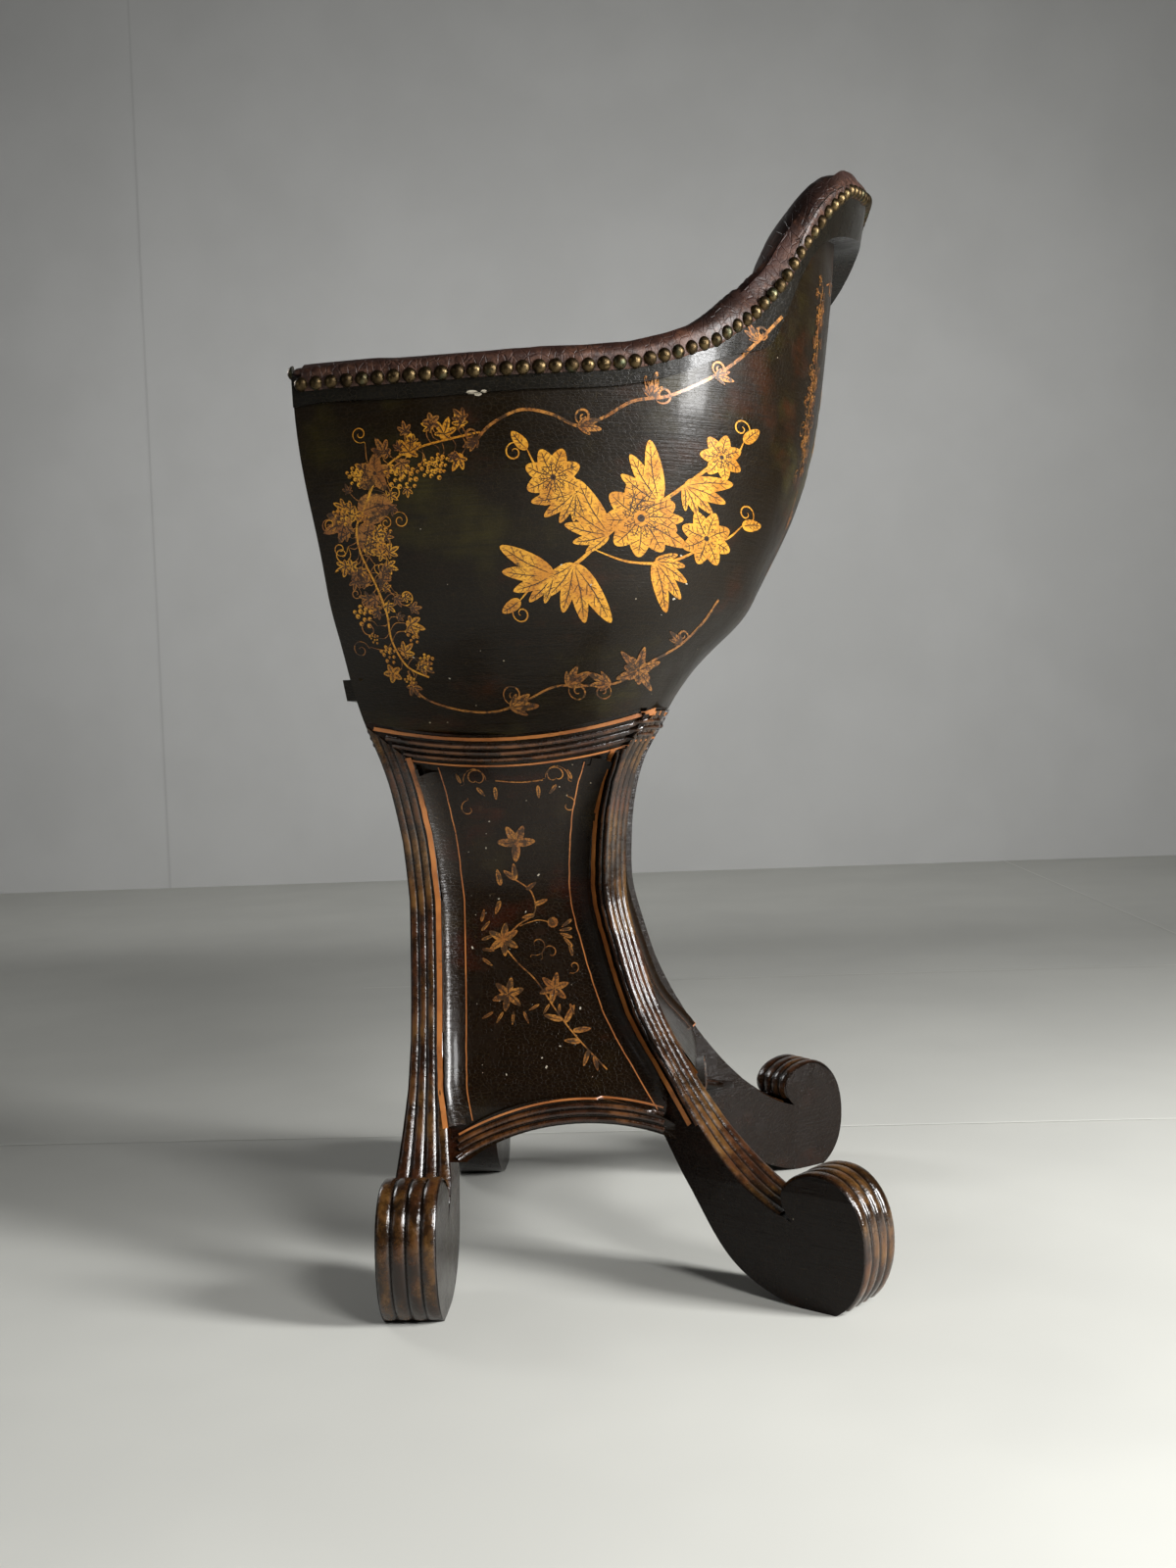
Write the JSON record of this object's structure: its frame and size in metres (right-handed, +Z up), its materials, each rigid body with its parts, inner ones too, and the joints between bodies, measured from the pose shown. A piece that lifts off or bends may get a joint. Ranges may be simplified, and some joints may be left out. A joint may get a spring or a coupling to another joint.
{
  "type": "gondola chair",
  "caption": "Small gondola chair: a lacquered tub with a leather rim, lining and seat on a waisted four-sided pedestal with splayed scroll feet.",
  "frame": {"origin": "on the floor, under the middle of the chair's bounding box", "axes": "+Z up, -Y towards the open front of the seat, +X towards the sitter's left"},
  "size_m": [0.5652, 0.4179, 0.8391],
  "materials": {
    "lacquer": "aged brown-black lacquer, semi-gloss, with worn gilt ornament",
    "gilded_lacquer": "glossy black lacquer with gilded reeds rubbed to copper brown",
    "leather": "reddish brown leather, worn pale along the crown",
    "brass": "aged, dull in the hollows",
    "plain_wood": "sawn and unfinished",
    "webbing": "woven jute",
    "steel": "plain"
  },
  "bodies": {
    "root": {"tub_back": "lacquer", "tub_side_left": "lacquer", "tub_side_right": "lacquer", "front_stile_left": "lacquer", "front_stile_right": "lacquer", "arm_rail_left": "lacquer", "arm_rail_right": "lacquer", "crest_rail": "lacquer", "seat_rail_front": "lacquer", "panel_front": "lacquer", "panel_back": "lacquer", "panel_left": "lacquer", "panel_right": "lacquer", "leg_front_left": "gilded_lacquer", "leg_front_right": "gilded_lacquer", "leg_rear_left": "gilded_lacquer", "leg_rear_right": "gilded_lacquer", "top_rail_front": "gilded_lacquer", "top_rail_back": "gilded_lacquer", "top_rail_left": "gilded_lacquer", "top_rail_right": "gilded_lacquer", "arch_rail_front": "gilded_lacquer", "arch_rail_back": "gilded_lacquer", "arch_rail_left": "gilded_lacquer", "arch_rail_right": "gilded_lacquer", "rim_roll": "leather", "inside_lining": "leather", "seat_pad": "leather", "rim_nails_left": "brass", "rim_nails_right": "brass", "arm_front_nails": "brass", "stile_pins": "brass", "seat_rail_back": "plain_wood", "seat_rail_left": "plain_wood", "seat_rail_right": "plain_wood", "seat_corner_blocks": "plain_wood", "tub_floor_board": "plain_wood", "pedestal_top_board": "plain_wood", "pedestal_glue_blocks": "plain_wood", "rail_joint_dowels": "plain_wood", "rim_dowels": "plain_wood", "seat_webbing": "webbing", "board_screws": "steel"}
  },
  "joints": []
}
